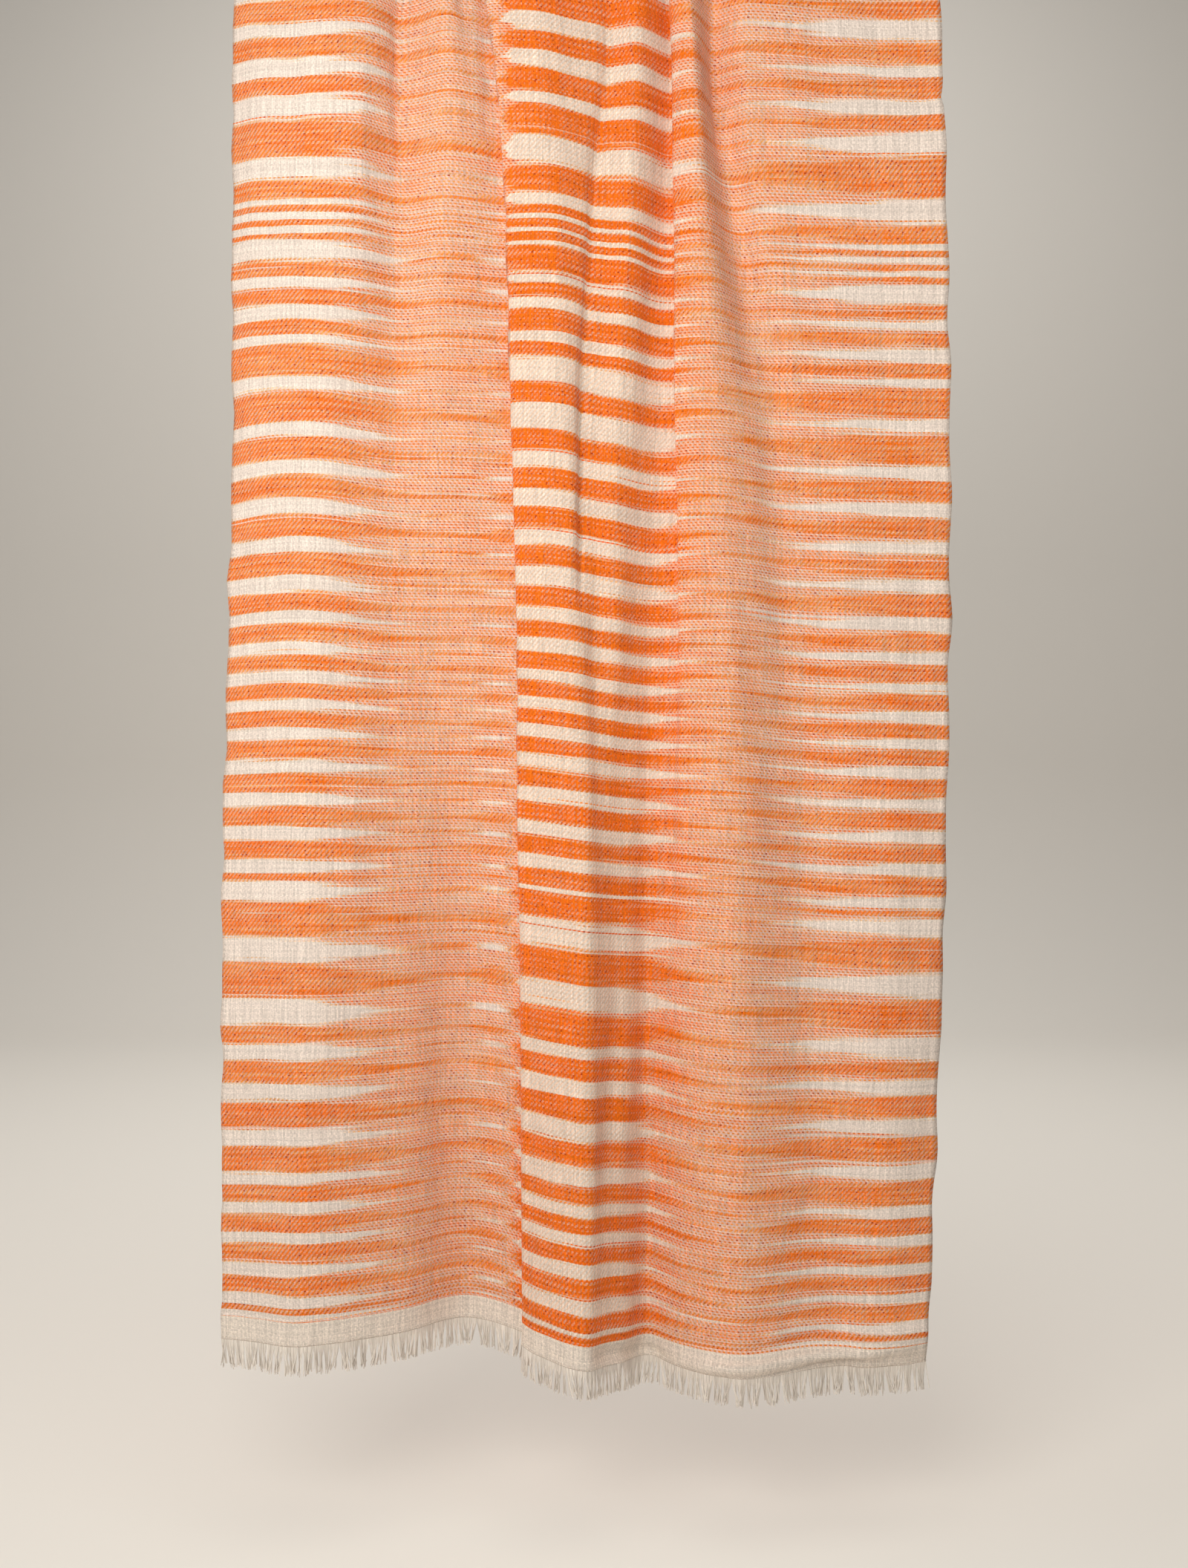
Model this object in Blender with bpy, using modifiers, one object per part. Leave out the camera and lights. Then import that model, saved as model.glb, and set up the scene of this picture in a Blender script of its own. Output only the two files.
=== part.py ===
"""A pashmina shawl hung over a plain wooden rod.

The shawl is one twill-woven length with a fringed end band at each end. It is gathered in soft folds on
the rod, and hangs in a long front fall and a shorter back fall. The rod's centre is the origin, the rod
runs along X, the front fall hangs on the side of -Y, and Z is up. All sizes are in metres.
"""

import math
from collections import namedtuple

import bmesh
import bpy
import numpy as np
from mathutils import Matrix

for old in list(bpy.data.objects):
    bpy.data.objects.remove(old, do_unlink=True)

SHAWL = bpy.data.collections.new("pashmina_shawl")
bpy.context.scene.collection.children.link(SHAWL)

# Driving sizes
WALL = 0.0012  # the cloth's thickness
SEAM = 0.0003  # the gap between two stretches of the cloth
FRINGE_SEAM = 0.0008  # the gap between the end band and the strip of its fringe
ROD_DIAMETER = 0.024
ROD_LENGTH = 0.80
FRONT_LENGTH = 1.173  # from the rod's centre to the lower edge of the front end band
BACK_LENGTH = 0.72
FRINGE = 0.022
STRIP = 0.002  # the strip that the strands' roots are fused into
FRONT_STRANDS = 96
BACK_STRANDS = 72
STEPS_ACROSS = 62  # quads across the cloth
STEPS_OVER = 8  # quads round the rod


# Folds: one row for each fold of the front fall, from the left selvedge to the right one.
# Each column has a value at each of the LEVELS, which are distances below the rod's centre:
# across is along X, and forward is out from the rod's axis.
Fold = namedtuple("Fold", "name across forward")
LEVELS = (0.0, 0.090, 0.450, 0.810, 1.154)
FOLDS = (
    Fold(
        "left selvedge",
        across=(-0.2878, -0.2871, -0.2894, -0.2956, -0.2954),
        forward=(0.0182, 0.0304, 0.0256, 0.0328, 0.0364),
    ),
    Fold(
        "left border",
        across=(-0.2677, -0.2647, -0.2670, -0.2710, -0.2692),
        forward=(0.0212, 0.0424, 0.0400, 0.0436, 0.0436),
    ),
    Fold(
        "left swell",
        across=(-0.1872, -0.1809, -0.2086, -0.2195, -0.2298),
        forward=(0.0308, 0.0550, 0.0484, 0.0544, 0.0568),
    ),
    Fold(
        "left hollow",
        across=(-0.1500, -0.1479, -0.1510, -0.1510, -0.1513),
        forward=(0.0134, 0.0322, 0.0316, 0.0316, 0.0286),
    ),
    Fold(
        "second swell",
        across=(-0.1210, -0.1120, -0.1205, -0.1041, -0.1025),
        forward=(0.0290, 0.0484, 0.0352, 0.0148, -0.0116),
    ),
    Fold(
        "under the first pleat",
        across=(-0.0979, -0.0834, -0.0593, -0.0534, -0.0544),
        forward=(0.0140, 0.0316, 0.0304, 0.0262, 0.0040),
    ),
    Fold(
        "first pleat's inner turn",
        across=(-0.0855, -0.0723, -0.0470, -0.0399, -0.0424),
        forward=(0.0170, 0.0346, 0.0346, 0.0316, 0.0118),
    ),
    Fold(
        "first pleat's rim",
        across=(-0.0973, -0.0810, -0.0606, -0.0541, -0.0530),
        forward=(0.0218, 0.0394, 0.0394, 0.0370, 0.0208),
    ),
    Fold(
        "middle swell",
        across=(-0.0604, -0.0465, -0.0166, 0.0001, -0.0011),
        forward=(0.0308, 0.0472, 0.0496, 0.0568, 0.0616),
    ),
    Fold(
        "centre crease",
        across=(0.0256, 0.0236, 0.0060, 0.0132, 0.0132),
        forward=(0.0146, 0.0280, 0.0352, 0.0484, 0.0484),
    ),
    Fold(
        "third swell",
        across=(0.0424, 0.0421, 0.0252, 0.0288, 0.0289),
        forward=(0.0248, 0.0352, 0.0382, 0.0400, 0.0316),
    ),
    Fold(
        "under the second pleat",
        across=(0.0659, 0.0683, 0.0572, 0.0486, 0.0503),
        forward=(0.0140, 0.0160, 0.0202, 0.0196, 0.0064),
    ),
    Fold(
        "second pleat's inner turn",
        across=(0.0756, 0.0766, 0.0823, 0.0667, 0.0647),
        forward=(0.0170, 0.0214, 0.0280, 0.0250, 0.0148),
    ),
    Fold(
        "second pleat's rim",
        across=(0.0662, 0.0682, 0.0729, 0.0795, 0.0823),
        forward=(0.0218, 0.0316, 0.0340, 0.0352, 0.0280),
    ),
    Fold(
        "right roll",
        across=(0.0789, 0.0838, 0.1065, 0.1206, 0.1265),
        forward=(0.0332, 0.0436, 0.0436, 0.0472, 0.0472),
    ),
    Fold(
        "right hollow",
        across=(0.1038, 0.1038, 0.1556, 0.1783, 0.1873),
        forward=(0.0146, 0.0148, 0.0220, 0.0256, 0.0304),
    ),
    Fold(
        "right swell",
        across=(0.1334, 0.1295, 0.1835, 0.2034, 0.2092),
        forward=(0.0248, 0.0280, 0.0226, 0.0280, 0.0298),
    ),
    Fold(
        "right panel",
        across=(0.1950, 0.1942, 0.2033, 0.2175, 0.2230),
        forward=(0.0176, 0.0244, 0.0244, 0.0304, 0.0340),
    ),
    Fold(
        "right flat",
        across=(0.2472, 0.2460, 0.2514, 0.2499, 0.2501),
        forward=(0.0158, 0.0232, 0.0268, 0.0352, 0.0340),
    ),
    Fold(
        "right selvedge",
        across=(0.2872, 0.2896, 0.2964, 0.2912, 0.2781),
        forward=(0.0200, 0.0268, 0.0292, 0.0280, 0.0268),
    ),
)

# How far the weft sags below its level, in millimetres, at shares of the cloth's width from the left
# selvedge: each row has a value at each of the SAG_LEVELS.
Sag = namedtuple("Sag", "name share lower_mm")
SAG_LEVELS = (0.0, 0.090, 0.180, 0.270, 0.450, 0.810, 1.080, 1.154)
SAGS = (
    Sag("left selvedge", 0.00, (0, -5, -5, -5, -4, 0, 0, 0)),
    Sag("left border", 0.08, (0, 0, -1, -1, -7, -1, -4, 0)),
    Sag("left hollow", 0.20, (0, 0, 0, 1, -2, 0, -5, -2)),
    Sag("first pleat", 0.33, (0, 1, 1, 2, 0, 0, -5, -1)),
    Sag("middle", 0.45, (0, 6, 7, 4, 3, 8, 5, 12)),
    Sag("third swell", 0.57, (0, 11, 13, 15, 16, 17, 12, 20)),
    Sag("right roll", 0.70, (0, 16, 14, 20, 17, 22, 26, 28)),
    Sag("right panel", 0.85, (0, 20, 15, 24, 23, 29, 29, 26)),
    Sag("right selvedge", 1.00, (0, 24, 16, 27, 26, 31, 27, 24)),
)
TOP_OF_BAND = LEVELS[-1]

# Heights of the rings of quads down each fall, below the rod's centre
FRONT_RINGS = (
    0.0, 0.022, 0.055, 0.090, 0.140, 0.200, 0.260, 0.320, 0.385, 0.450, 0.520, 0.590, 0.660,
    0.735, 0.810, 0.880, 0.945, 1.005, 1.055, 1.095, 1.125, 1.142, TOP_OF_BAND, 1.164, FRONT_LENGTH,
)
BACK_RINGS = (0.0, 0.06, 0.16, 0.28, 0.40, 0.52, 0.63, BACK_LENGTH)

# The end band's lower right kicks forward and turns back under: across is along X, and below is how
# far the roll's edge lies below the top of the end band there.
RollPoint = namedtuple("RollPoint", "across below height")
HEM_ROLL = (
    RollPoint(0.070, 0.020, 0.000),
    RollPoint(0.110, 0.017, 0.008),
    RollPoint(0.154, 0.016, 0.010),
    RollPoint(0.176, 0.013, 0.010),
    RollPoint(0.216, 0.002, 0.009),
    RollPoint(0.275, -0.008, 0.007),
)
ROLL_RISE = 0.024
ROLL_FALL = 0.034


def settled_slopes(places, values):
    """Slopes that never carry a curve past its own values: the harmonic mean of the ones on each side."""
    sides = np.diff(values) / np.diff(places)
    before, after = sides[:-1], sides[1:]
    agree = before * after > 0
    mean = 2 * before * after / np.where(agree, before + after, 1.0)
    return np.concatenate([sides[:1], np.where(agree, mean, 0.0), sides[-1:]])


def follow(places, values, at, slopes=None):
    """Read the smooth curve that passes through values, at each place in at."""
    places = np.asarray(places, float)
    values = np.asarray(values, float)
    at = np.clip(at, places[0], places[-1])
    if slopes is None:
        slopes = np.gradient(values, places)
    k = np.clip(np.searchsorted(places, at) - 1, 0, len(places) - 2)
    step = places[k + 1] - places[k]
    t = (at - places[k]) / step
    return (
        (1 + 2 * t) * (1 - t) ** 2 * values[k]
        + t * (1 - t) ** 2 * step * slopes[k]
        + t * t * (3 - 2 * t) * values[k + 1]
        + t * t * (t - 1) * step * slopes[k + 1]
    )


def at_level(values, level):
    """Read a fold's column at a level. The curve down the fall starts plumb at the rod."""
    slopes = np.gradient(values, LEVELS)
    slopes[0] = 0.0
    return float(follow(LEVELS, values, level, slopes))


def folds_at(level):
    """The place of every fold at a level: across and forward."""
    return [
        np.array([at_level(getattr(fold, column), level) for fold in FOLDS])
        for column in ("across", "forward")
    ]


def sag_at(level, shares):
    """How far the weft lies below a level, at shares of the cloth's width."""
    lower = [
        float(follow(SAG_LEVELS, sag.lower_mm, level, settled_slopes(SAG_LEVELS, sag.lower_mm))) / 1000
        for sag in SAGS
    ]
    return follow([sag.share for sag in SAGS], lower, shares)


def knots(across, forward):
    """Places along a section for its folds, spaced so that the curve through them never loops."""
    gaps = np.hypot(np.diff(across), np.diff(forward))
    return np.concatenate([[0.0], np.cumsum(np.sqrt(gaps))])


def steps_between_folds():
    """How many quads lie between each fold and the next, shared out by the cloth's length there."""
    across, forward = folds_at(LEVELS[2])
    gaps = np.hypot(np.diff(across), np.diff(forward))
    return [max(2, round(STEPS_ACROSS * gap / gaps.sum())) for gap in gaps]


FOLD_STEPS = steps_between_folds()


def section(level):
    """One ring of points across the cloth at a level: rows of across, forward and lower."""
    across, forward = folds_at(level)
    along = knots(across, forward)
    at = [along[0]]
    for start, end, steps in zip(along, along[1:], FOLD_STEPS):
        at.extend(start + (end - start) * k / steps for k in range(1, steps + 1))
    across, forward = follow(along, across, at), follow(along, forward, at)
    lengths = np.concatenate([[0.0], np.cumsum(np.hypot(np.diff(across), np.diff(forward)))])
    return np.stack([across, forward, sag_at(level, lengths / lengths[-1])], axis=1)


def hem_kick(across, below):
    """How far the end band kicks forward, below being the depth under the top of the band."""
    edge = follow([p.across for p in HEM_ROLL], [p.below for p in HEM_ROLL], across)
    height = follow([p.across for p in HEM_ROLL], [p.height for p in HEM_ROLL], across)
    past = below - edge
    if past < 0:
        share = max(0.0, 1 + past / ROLL_RISE)
        return height * share * share * (3 - 2 * share)
    return height * math.cos(math.pi * min(1.0, past / ROLL_FALL))


def front_ring(level, below=0.0):
    """The front fall's points at a level, or a little below it."""
    ring = []
    for across, forward, lower in section(level):
        kick = hem_kick(across, level + below - TOP_OF_BAND)
        ring.append((across, -(forward + kick), -(level + below + lower)))
    return ring


def back_ring(level):
    """The back fall's points at a level: the rod's folds, spreading and settling on the way down."""
    share = level / BACK_LENGTH
    settle = share * share * (3 - 2 * share)
    ring = []
    for across, forward, _ in section(0.0):
        wave = 0.004 * settle * math.sin(across * 31.0 + 0.8)
        ring.append((across * (1 + 0.015 * settle), forward * (1 - 0.12 * settle) + wave + 0.002 * settle, -level))
    return ring


def over_ring(angle):
    """The cloth's points at an angle round the rod, from the front to the back."""
    return [
        (across, -forward * math.cos(angle), forward * math.sin(angle))
        for across, forward, _ in section(0.0)
    ]


def make_material(name, color, roughness):
    """A plain finish with its own name."""
    material = bpy.data.materials.new(name)
    material.use_nodes = True
    shader = material.node_tree.nodes["Principled BSDF"]
    shader.inputs["Base Color"].default_value = (*color, 1.0)
    shader.inputs["Roughness"].default_value = roughness
    return material


def add_object(name, mesh, material):
    """Put a mesh in the shawl's collection as a named piece."""
    piece = bpy.data.objects.new(name, mesh)
    mesh.materials.append(material)
    SHAWL.objects.link(piece)
    return piece


def cloth_piece(name, rings, material):
    """A stretch of the cloth: quads between rings of points, given the cloth's thickness."""
    count = len(rings[0])
    points = [point for ring in rings for point in ring]
    quads = [
        (row * count + k, (row + 1) * count + k, (row + 1) * count + k + 1, row * count + k + 1)
        for row in range(len(rings) - 1)
        for k in range(count - 1)
    ]
    mesh = bpy.data.meshes.new(name)
    mesh.from_pydata(points, [], quads)
    piece = add_object(name, mesh, material)
    wall = piece.modifiers.new("wall", "SOLIDIFY")
    wall.thickness = WALL
    wall.offset = 0.0
    wall.use_even_offset = False
    return piece


def even_places(ring, count):
    """Points at even distances along a ring."""
    ring = np.array(ring)
    lengths = np.concatenate([[0.0], np.cumsum(np.linalg.norm(np.diff(ring[:, :2], axis=0), axis=1))])
    at = np.linspace(0.0, lengths[-1], count)
    return np.stack([np.interp(at, lengths, ring[:, k]) for k in range(3)], axis=1)


def fringe_piece(name, ring, strands, material):
    """A strip along the end band's edge, with a strand below every second cell of it."""
    cells = 2 * strands - 1
    line = even_places(ring, cells + 1)
    line[:, 2] -= FRINGE_SEAM
    heading = np.gradient(line[:, :2], axis=0)
    heading /= np.linalg.norm(heading, axis=1, keepdims=True)
    side = np.stack([-heading[:, 1], heading[:, 0]], axis=1) * WALL / 2
    mesh = bpy.data.meshes.new(name)
    work = bmesh.new()
    corners = []
    for place, half in zip(line, side):
        corners.append([
            work.verts.new((place[0] + s * half[0], place[1] + s * half[1], place[2] - drop))
            for s, drop in ((1, 0.0), (1, STRIP), (-1, STRIP), (-1, 0.0))
        ])
    for k in range(cells):
        here, there = corners[k], corners[k + 1]
        for a, b in ((0, 1), (2, 3), (3, 0)):
            work.faces.new((here[a], here[b], there[b], there[a]))
        foot = (here[1], here[2], there[2], there[1])
        if k % 2:
            work.faces.new(foot)
            continue
        center = sum((np.array(v.co) for v in foot), np.zeros(3)) / 4
        length = (FRINGE - STRIP) * (0.93 + 0.07 * math.sin(k * 2.3))
        lean = np.array([0.0018 * math.sin(k * 0.9), 0.0012 * math.sin(k * 1.7 + 1.0), -length])
        tip = [work.verts.new(center + lean + (np.array(v.co) - center) * 0.55) for v in foot]
        for a in range(4):
            b = (a + 1) % 4
            work.faces.new((foot[a], foot[b], tip[b], tip[a]))
        work.faces.new(tip)
    work.faces.new(corners[0])
    work.faces.new(corners[-1][::-1])
    bmesh.ops.recalc_face_normals(work, faces=work.faces[:])
    work.to_mesh(mesh)
    work.free()
    return add_object(name, mesh, material)


# Finishes
PASHMINA = make_material("pashmina_twill", (0.86, 0.36, 0.17), 0.9)
PASHMINA_TURN = make_material("pashmina_twill_turn", (0.86, 0.36, 0.17), 0.9)
PASHMINA_BACK = make_material("pashmina_twill_back", (0.86, 0.36, 0.17), 0.9)
FRINGE_FRONT = make_material("pashmina_fringe", (0.82, 0.76, 0.68), 0.9)
FRINGE_BACK = make_material("pashmina_fringe_back", (0.82, 0.76, 0.68), 0.9)
ROD_WOOD = make_material("rod_wood", (0.26, 0.12, 0.06), 0.35)


# The rod
rod_mesh = bpy.data.meshes.new("rod")
rod_work = bmesh.new()
bmesh.ops.create_cone(
    rod_work,
    cap_ends=True,
    segments=24,
    radius1=ROD_DIAMETER / 2,
    radius2=ROD_DIAMETER / 2,
    depth=ROD_LENGTH,
)
bmesh.ops.rotate(rod_work, verts=rod_work.verts[:], matrix=Matrix.Rotation(math.pi / 2, 3, "Y"))
rod_work.to_mesh(rod_mesh)
rod_work.free()
add_object("rod", rod_mesh, ROD_WOOD)

# The cloth: the front fall starts a seam's width below the rod's centre, and so does the back fall
front_rings = [front_ring(min(level, TOP_OF_BAND), max(0.0, level - TOP_OF_BAND)) for level in FRONT_RINGS]
front_rings[0] = [(x, y, z - SEAM) for x, y, z in front_rings[0]]
cloth_piece("front_fall", front_rings, PASHMINA)

over_rings = [over_ring(math.pi * k / STEPS_OVER) for k in range(STEPS_OVER + 1)]
cloth_piece("over_rod", over_rings, PASHMINA_TURN)

back_rings = [back_ring(level) for level in BACK_RINGS]
back_rings[0] = [(x, y, z - SEAM) for x, y, z in back_rings[0]]
cloth_piece("back_fall", back_rings, PASHMINA_BACK)

# The fringes
fringe_piece("front_fringe", front_rings[-1], FRONT_STRANDS, FRINGE_FRONT)
fringe_piece("back_fringe", back_rings[-1], BACK_STRANDS, FRINGE_BACK)
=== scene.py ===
"""A pashmina shawl hung over a wooden rod, as a studio would photograph it.

The shawl is one length of cream wool twill, woven with ikat-dyed weft that runs out of step from one
pick to the next, so its orange stripes fade into pink and come back as cream. A cream band and a short
fringe finish each end. The front fall hangs on the side of -Y, and the rod's centre is the origin.
"""

import math
from collections import namedtuple
from functools import partial

import bpy
import numpy as np
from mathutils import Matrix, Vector


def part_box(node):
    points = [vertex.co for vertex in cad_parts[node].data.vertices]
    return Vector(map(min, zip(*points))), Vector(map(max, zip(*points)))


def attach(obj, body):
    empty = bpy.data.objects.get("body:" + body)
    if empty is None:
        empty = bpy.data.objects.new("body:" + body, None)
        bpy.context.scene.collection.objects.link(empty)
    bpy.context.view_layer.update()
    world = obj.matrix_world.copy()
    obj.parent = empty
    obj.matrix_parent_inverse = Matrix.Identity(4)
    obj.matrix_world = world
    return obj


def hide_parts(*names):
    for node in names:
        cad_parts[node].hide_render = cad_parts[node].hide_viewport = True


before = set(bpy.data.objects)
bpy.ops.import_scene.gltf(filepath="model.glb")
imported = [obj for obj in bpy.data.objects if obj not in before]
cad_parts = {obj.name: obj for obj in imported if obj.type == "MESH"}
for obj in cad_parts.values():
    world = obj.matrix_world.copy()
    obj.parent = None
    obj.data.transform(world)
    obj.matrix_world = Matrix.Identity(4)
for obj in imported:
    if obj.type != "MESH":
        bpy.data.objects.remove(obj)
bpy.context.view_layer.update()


# The rod. A turned hardwood dowel, stained brown and polished with wax, which is softly rounded at its
# two ends. The cloth hides all of it but its ends.
def linear(code):
    """An sRGB hex colour as the linear colour that a shader takes."""
    parts = [int(code[k:k + 2], 16) / 255 for k in (1, 3, 5)]
    return tuple(c / 12.92 if c <= 0.04045 else ((c + 0.055) / 1.055) ** 2.4 for c in parts) + (1.0,)


def per_metre(*sizes_mm):
    """The scale of a pattern whose marks have these sizes along X, Y and Z."""
    return tuple(1000 / size for size in sizes_mm)


def connect(node, inputs):
    """Link or set each of a node's inputs. A node that is given as an input stands for its first output."""
    for socket, value in inputs.items():
        if isinstance(value, bpy.types.Node):
            value = value.outputs[0]
        if isinstance(value, bpy.types.NodeSocket):
            node.id_data.links.new(value, node.inputs[socket])
        else:
            node.inputs[socket].default_value = value


def add_node(tree, kind, inputs=None, **settings):
    """Add a node with its settings and its links."""
    node = tree.nodes.new(kind)
    for name, value in settings.items():
        setattr(node, name, value)
    connect(node, inputs or {})
    return node


def new_finish(name):
    """A new material, what adds a node to it, and its Principled shader."""
    material = bpy.data.materials.new(name)
    material.use_nodes = True
    tree = material.node_tree
    return material, partial(add_node, tree), tree.nodes["Principled BSDF"]


def waxed_hardwood():
    """Stained beech, turned and waxed: brown with long dark grain lines, and a soft narrow gloss."""
    material, add, shader = new_finish("waxed_hardwood")
    place = add("ShaderNodeTexCoord").outputs["Object"]
    grain_place = add("ShaderNodeMapping", {"Vector": place, "Scale": per_metre(166.67, 6.25, 6.25)})
    grain = add(
        "ShaderNodeTexNoise", {"Vector": grain_place, "Scale": 1.0, "Detail": 5.0, "Distortion": 0.6}
    )
    pore_place = add("ShaderNodeMapping", {"Vector": place, "Scale": per_metre(22.222, 0.7143, 0.7143)})
    pore = add("ShaderNodeTexNoise", {"Vector": pore_place, "Scale": 1.0, "Detail": 2.0})
    tone = add("ShaderNodeValToRGB", {"Fac": grain})
    dark, pale = tone.color_ramp.elements
    dark.position, pale.position = 0.32, 0.68
    dark.color, pale.color = linear("#3a1a0b"), linear("#8a4a22")
    pits = add("ShaderNodeMapRange", {"Value": pore, "From Min": 0.58, "From Max": 0.72})
    color = add("ShaderNodeMix", {0: pits, 6: tone, 7: linear("#2b1207")}, data_type="RGBA").outputs[2]
    rough = add("ShaderNodeMapRange", {"Value": grain, "To Min": 0.24, "To Max": 0.42})
    relief = add("ShaderNodeBump", {"Height": pits, "Strength": 0.25, "Distance": 0.0003}, invert=True)
    connect(shader, {"Base Color": color, "Roughness": rough, "Normal": relief})
    connect(shader, {"Coat Weight": 0.35, "Coat Roughness": 0.18})
    return material


def add_piece(name, points, faces, material):
    """A mesh shaded smooth, with its place in its own points."""
    mesh = bpy.data.meshes.new(name)
    mesh.from_pydata([tuple(p) for p in points], [], faces)
    mesh.materials.append(material)
    mesh.shade_smooth()
    piece = bpy.data.objects.new(name, mesh)
    bpy.context.scene.collection.objects.link(piece)
    return piece


def quads(rows, columns, closed=False):
    """The faces between rows of points. In closed rows, the last point meets the first."""
    return [
        (
            row * columns + column,
            (row + 1) * columns + column,
            (row + 1) * columns + (column + 1) % columns,
            row * columns + (column + 1) % columns,
        )
        for row in range(rows - 1)
        for column in range(columns if closed else columns - 1)
    ]


rod_low, rod_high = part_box("rod")
ROD_RADIUS = (rod_high.z - rod_low.z) / 2
ROD_HALF = rod_high.x
ROD_ROUND = 0.003  # the rounding of each end's edge
ROD_SIDES = 64


def half_outline():
    """The rod's outline from the rim of an end's flat face to its middle: distance along, and radius."""
    corner = [
        (ROD_HALF - ROD_ROUND * (1 - math.cos(a)), ROD_RADIUS - ROD_ROUND * (1 - math.sin(a)))
        for a in map(math.radians, range(0, 91, 15))
    ]
    return [*corner, (0.0, ROD_RADIUS)]


half = half_outline()
rings = half + [(-along, radius) for along, radius in reversed(half[:-1])]
rod_points = [
    (along, radius * math.cos(2 * math.pi * k / ROD_SIDES), radius * math.sin(2 * math.pi * k / ROD_SIDES))
    for along, radius in rings
    for k in range(ROD_SIDES)
]
rod_faces = quads(len(rings), ROD_SIDES, closed=True)
rod_faces.append(tuple(range(ROD_SIDES)))
rod_faces.append(tuple(reversed(range((len(rings) - 1) * ROD_SIDES, len(rings) * ROD_SIDES))))
rod = add_piece("polished_rod", rod_points, rod_faces, waxed_hardwood())
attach(rod, "root")
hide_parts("rod")


# The cloth. Twill-woven pashmina wool, hung over the rod with no fixing: the rod gathers it in soft
# folds, two of them deep enough to lap, and its right side hangs a little lower than its left.

# The folds of the front fall, from the left selvedge to the right one. Each column has a value at each
# of the LEVELS, which are distances below the rod's centre: across is along X, and forward is out from
# the rod's axis.
Fold = namedtuple("Fold", "name across_mm forward_mm")
LEVELS = (0.0, 0.090, 0.450, 0.810, 1.154)
FOLDS = (
    Fold("left selvedge", (-287.8, -287.1, -289.4, -295.6, -295.4), (18.2, 30.4, 25.6, 32.8, 36.4)),
    Fold("left border", (-267.7, -264.7, -267.0, -271.0, -269.2), (21.2, 42.4, 40.0, 43.6, 43.6)),
    Fold("left swell", (-187.2, -180.9, -208.6, -219.5, -229.8), (30.8, 55.0, 48.4, 54.4, 56.8)),
    Fold("left hollow", (-150.0, -147.9, -151.0, -151.0, -151.3), (13.4, 32.2, 31.6, 31.6, 28.6)),
    Fold("second swell", (-121.0, -112.0, -120.5, -104.1, -102.5), (29.0, 48.4, 35.2, 14.8, -11.6)),
    Fold("under the first pleat", (-97.9, -83.4, -59.3, -53.4, -54.4), (14.0, 31.6, 30.4, 26.2, 4.0)),
    Fold("first pleat's inner turn", (-85.5, -72.3, -47.0, -39.9, -42.4), (17.0, 34.6, 34.6, 31.6, 11.8)),
    Fold("first pleat's rim", (-97.3, -81.0, -60.6, -54.1, -53.0), (21.8, 39.4, 39.4, 37.0, 20.8)),
    Fold("middle swell", (-60.4, -46.5, -16.6, 0.1, -1.1), (30.8, 47.2, 49.6, 56.8, 61.6)),
    Fold("centre crease", (25.6, 23.6, 6.0, 13.2, 13.2), (14.6, 28.0, 35.2, 48.4, 48.4)),
    Fold("third swell", (42.4, 42.1, 25.2, 28.8, 28.9), (24.8, 35.2, 38.2, 40.0, 31.6)),
    Fold("under the second pleat", (65.9, 68.3, 57.2, 48.6, 50.3), (14.0, 16.0, 20.2, 19.6, 6.4)),
    Fold("second pleat's inner turn", (75.6, 76.6, 82.3, 66.7, 64.7), (17.0, 21.4, 28.0, 25.0, 14.8)),
    Fold("second pleat's rim", (66.2, 68.2, 72.9, 79.5, 82.3), (21.8, 31.6, 34.0, 35.2, 28.0)),
    Fold("right roll", (78.9, 83.8, 106.5, 120.6, 126.5), (33.2, 43.6, 43.6, 47.2, 47.2)),
    Fold("right hollow", (103.8, 103.8, 155.6, 178.3, 187.3), (14.6, 14.8, 22.0, 25.6, 30.4)),
    Fold("right swell", (133.4, 129.5, 183.5, 203.4, 209.2), (24.8, 28.0, 22.6, 28.0, 29.8)),
    Fold("right panel", (195.0, 194.2, 203.3, 217.5, 223.0), (17.6, 24.4, 24.4, 30.4, 34.0)),
    Fold("right flat", (247.2, 246.0, 251.4, 249.9, 250.1), (15.8, 23.2, 26.8, 35.2, 34.0)),
    Fold("right selvedge", (287.2, 289.6, 296.4, 291.2, 278.1), (20.0, 26.8, 29.2, 28.0, 26.8)),
)

# How far the weft sags below its level, in millimetres, at shares of the cloth's width from the left
# selvedge: each row has a value at each of the SAG_LEVELS.
Sag = namedtuple("Sag", "name share lower_mm")
SAG_LEVELS = (0.0, 0.090, 0.180, 0.270, 0.450, 0.810, 1.080, 1.154)
SAGS = (
    Sag("left selvedge", 0.00, (0, -5, -5, -5, -4, 0, 0, 0)),
    Sag("left border", 0.08, (0, 0, -1, -1, -7, -1, -4, 0)),
    Sag("left hollow", 0.20, (0, 0, 0, 1, -2, 0, -5, -2)),
    Sag("first pleat", 0.33, (0, 1, 1, 2, 0, 0, -5, -1)),
    Sag("middle", 0.45, (0, 6, 7, 4, 3, 8, 5, 12)),
    Sag("third swell", 0.57, (0, 11, 13, 15, 16, 17, 12, 20)),
    Sag("right roll", 0.70, (0, 16, 14, 20, 17, 22, 26, 28)),
    Sag("right panel", 0.85, (0, 20, 15, 24, 23, 29, 29, 26)),
    Sag("right selvedge", 1.00, (0, 24, 16, 27, 26, 31, 27, 24)),
)
TOP_OF_BAND = LEVELS[-1]
CLOTH_WIDTH = 0.70
FRONT_LENGTH = 1.173  # from the rod's centre to the front end band's lower edge
BACK_LENGTH = 0.72
END_BAND = 0.019
OVER_ROD = 0.060  # the cloth's length round the rod
CLOTH_THICKNESS = 0.0009


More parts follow.
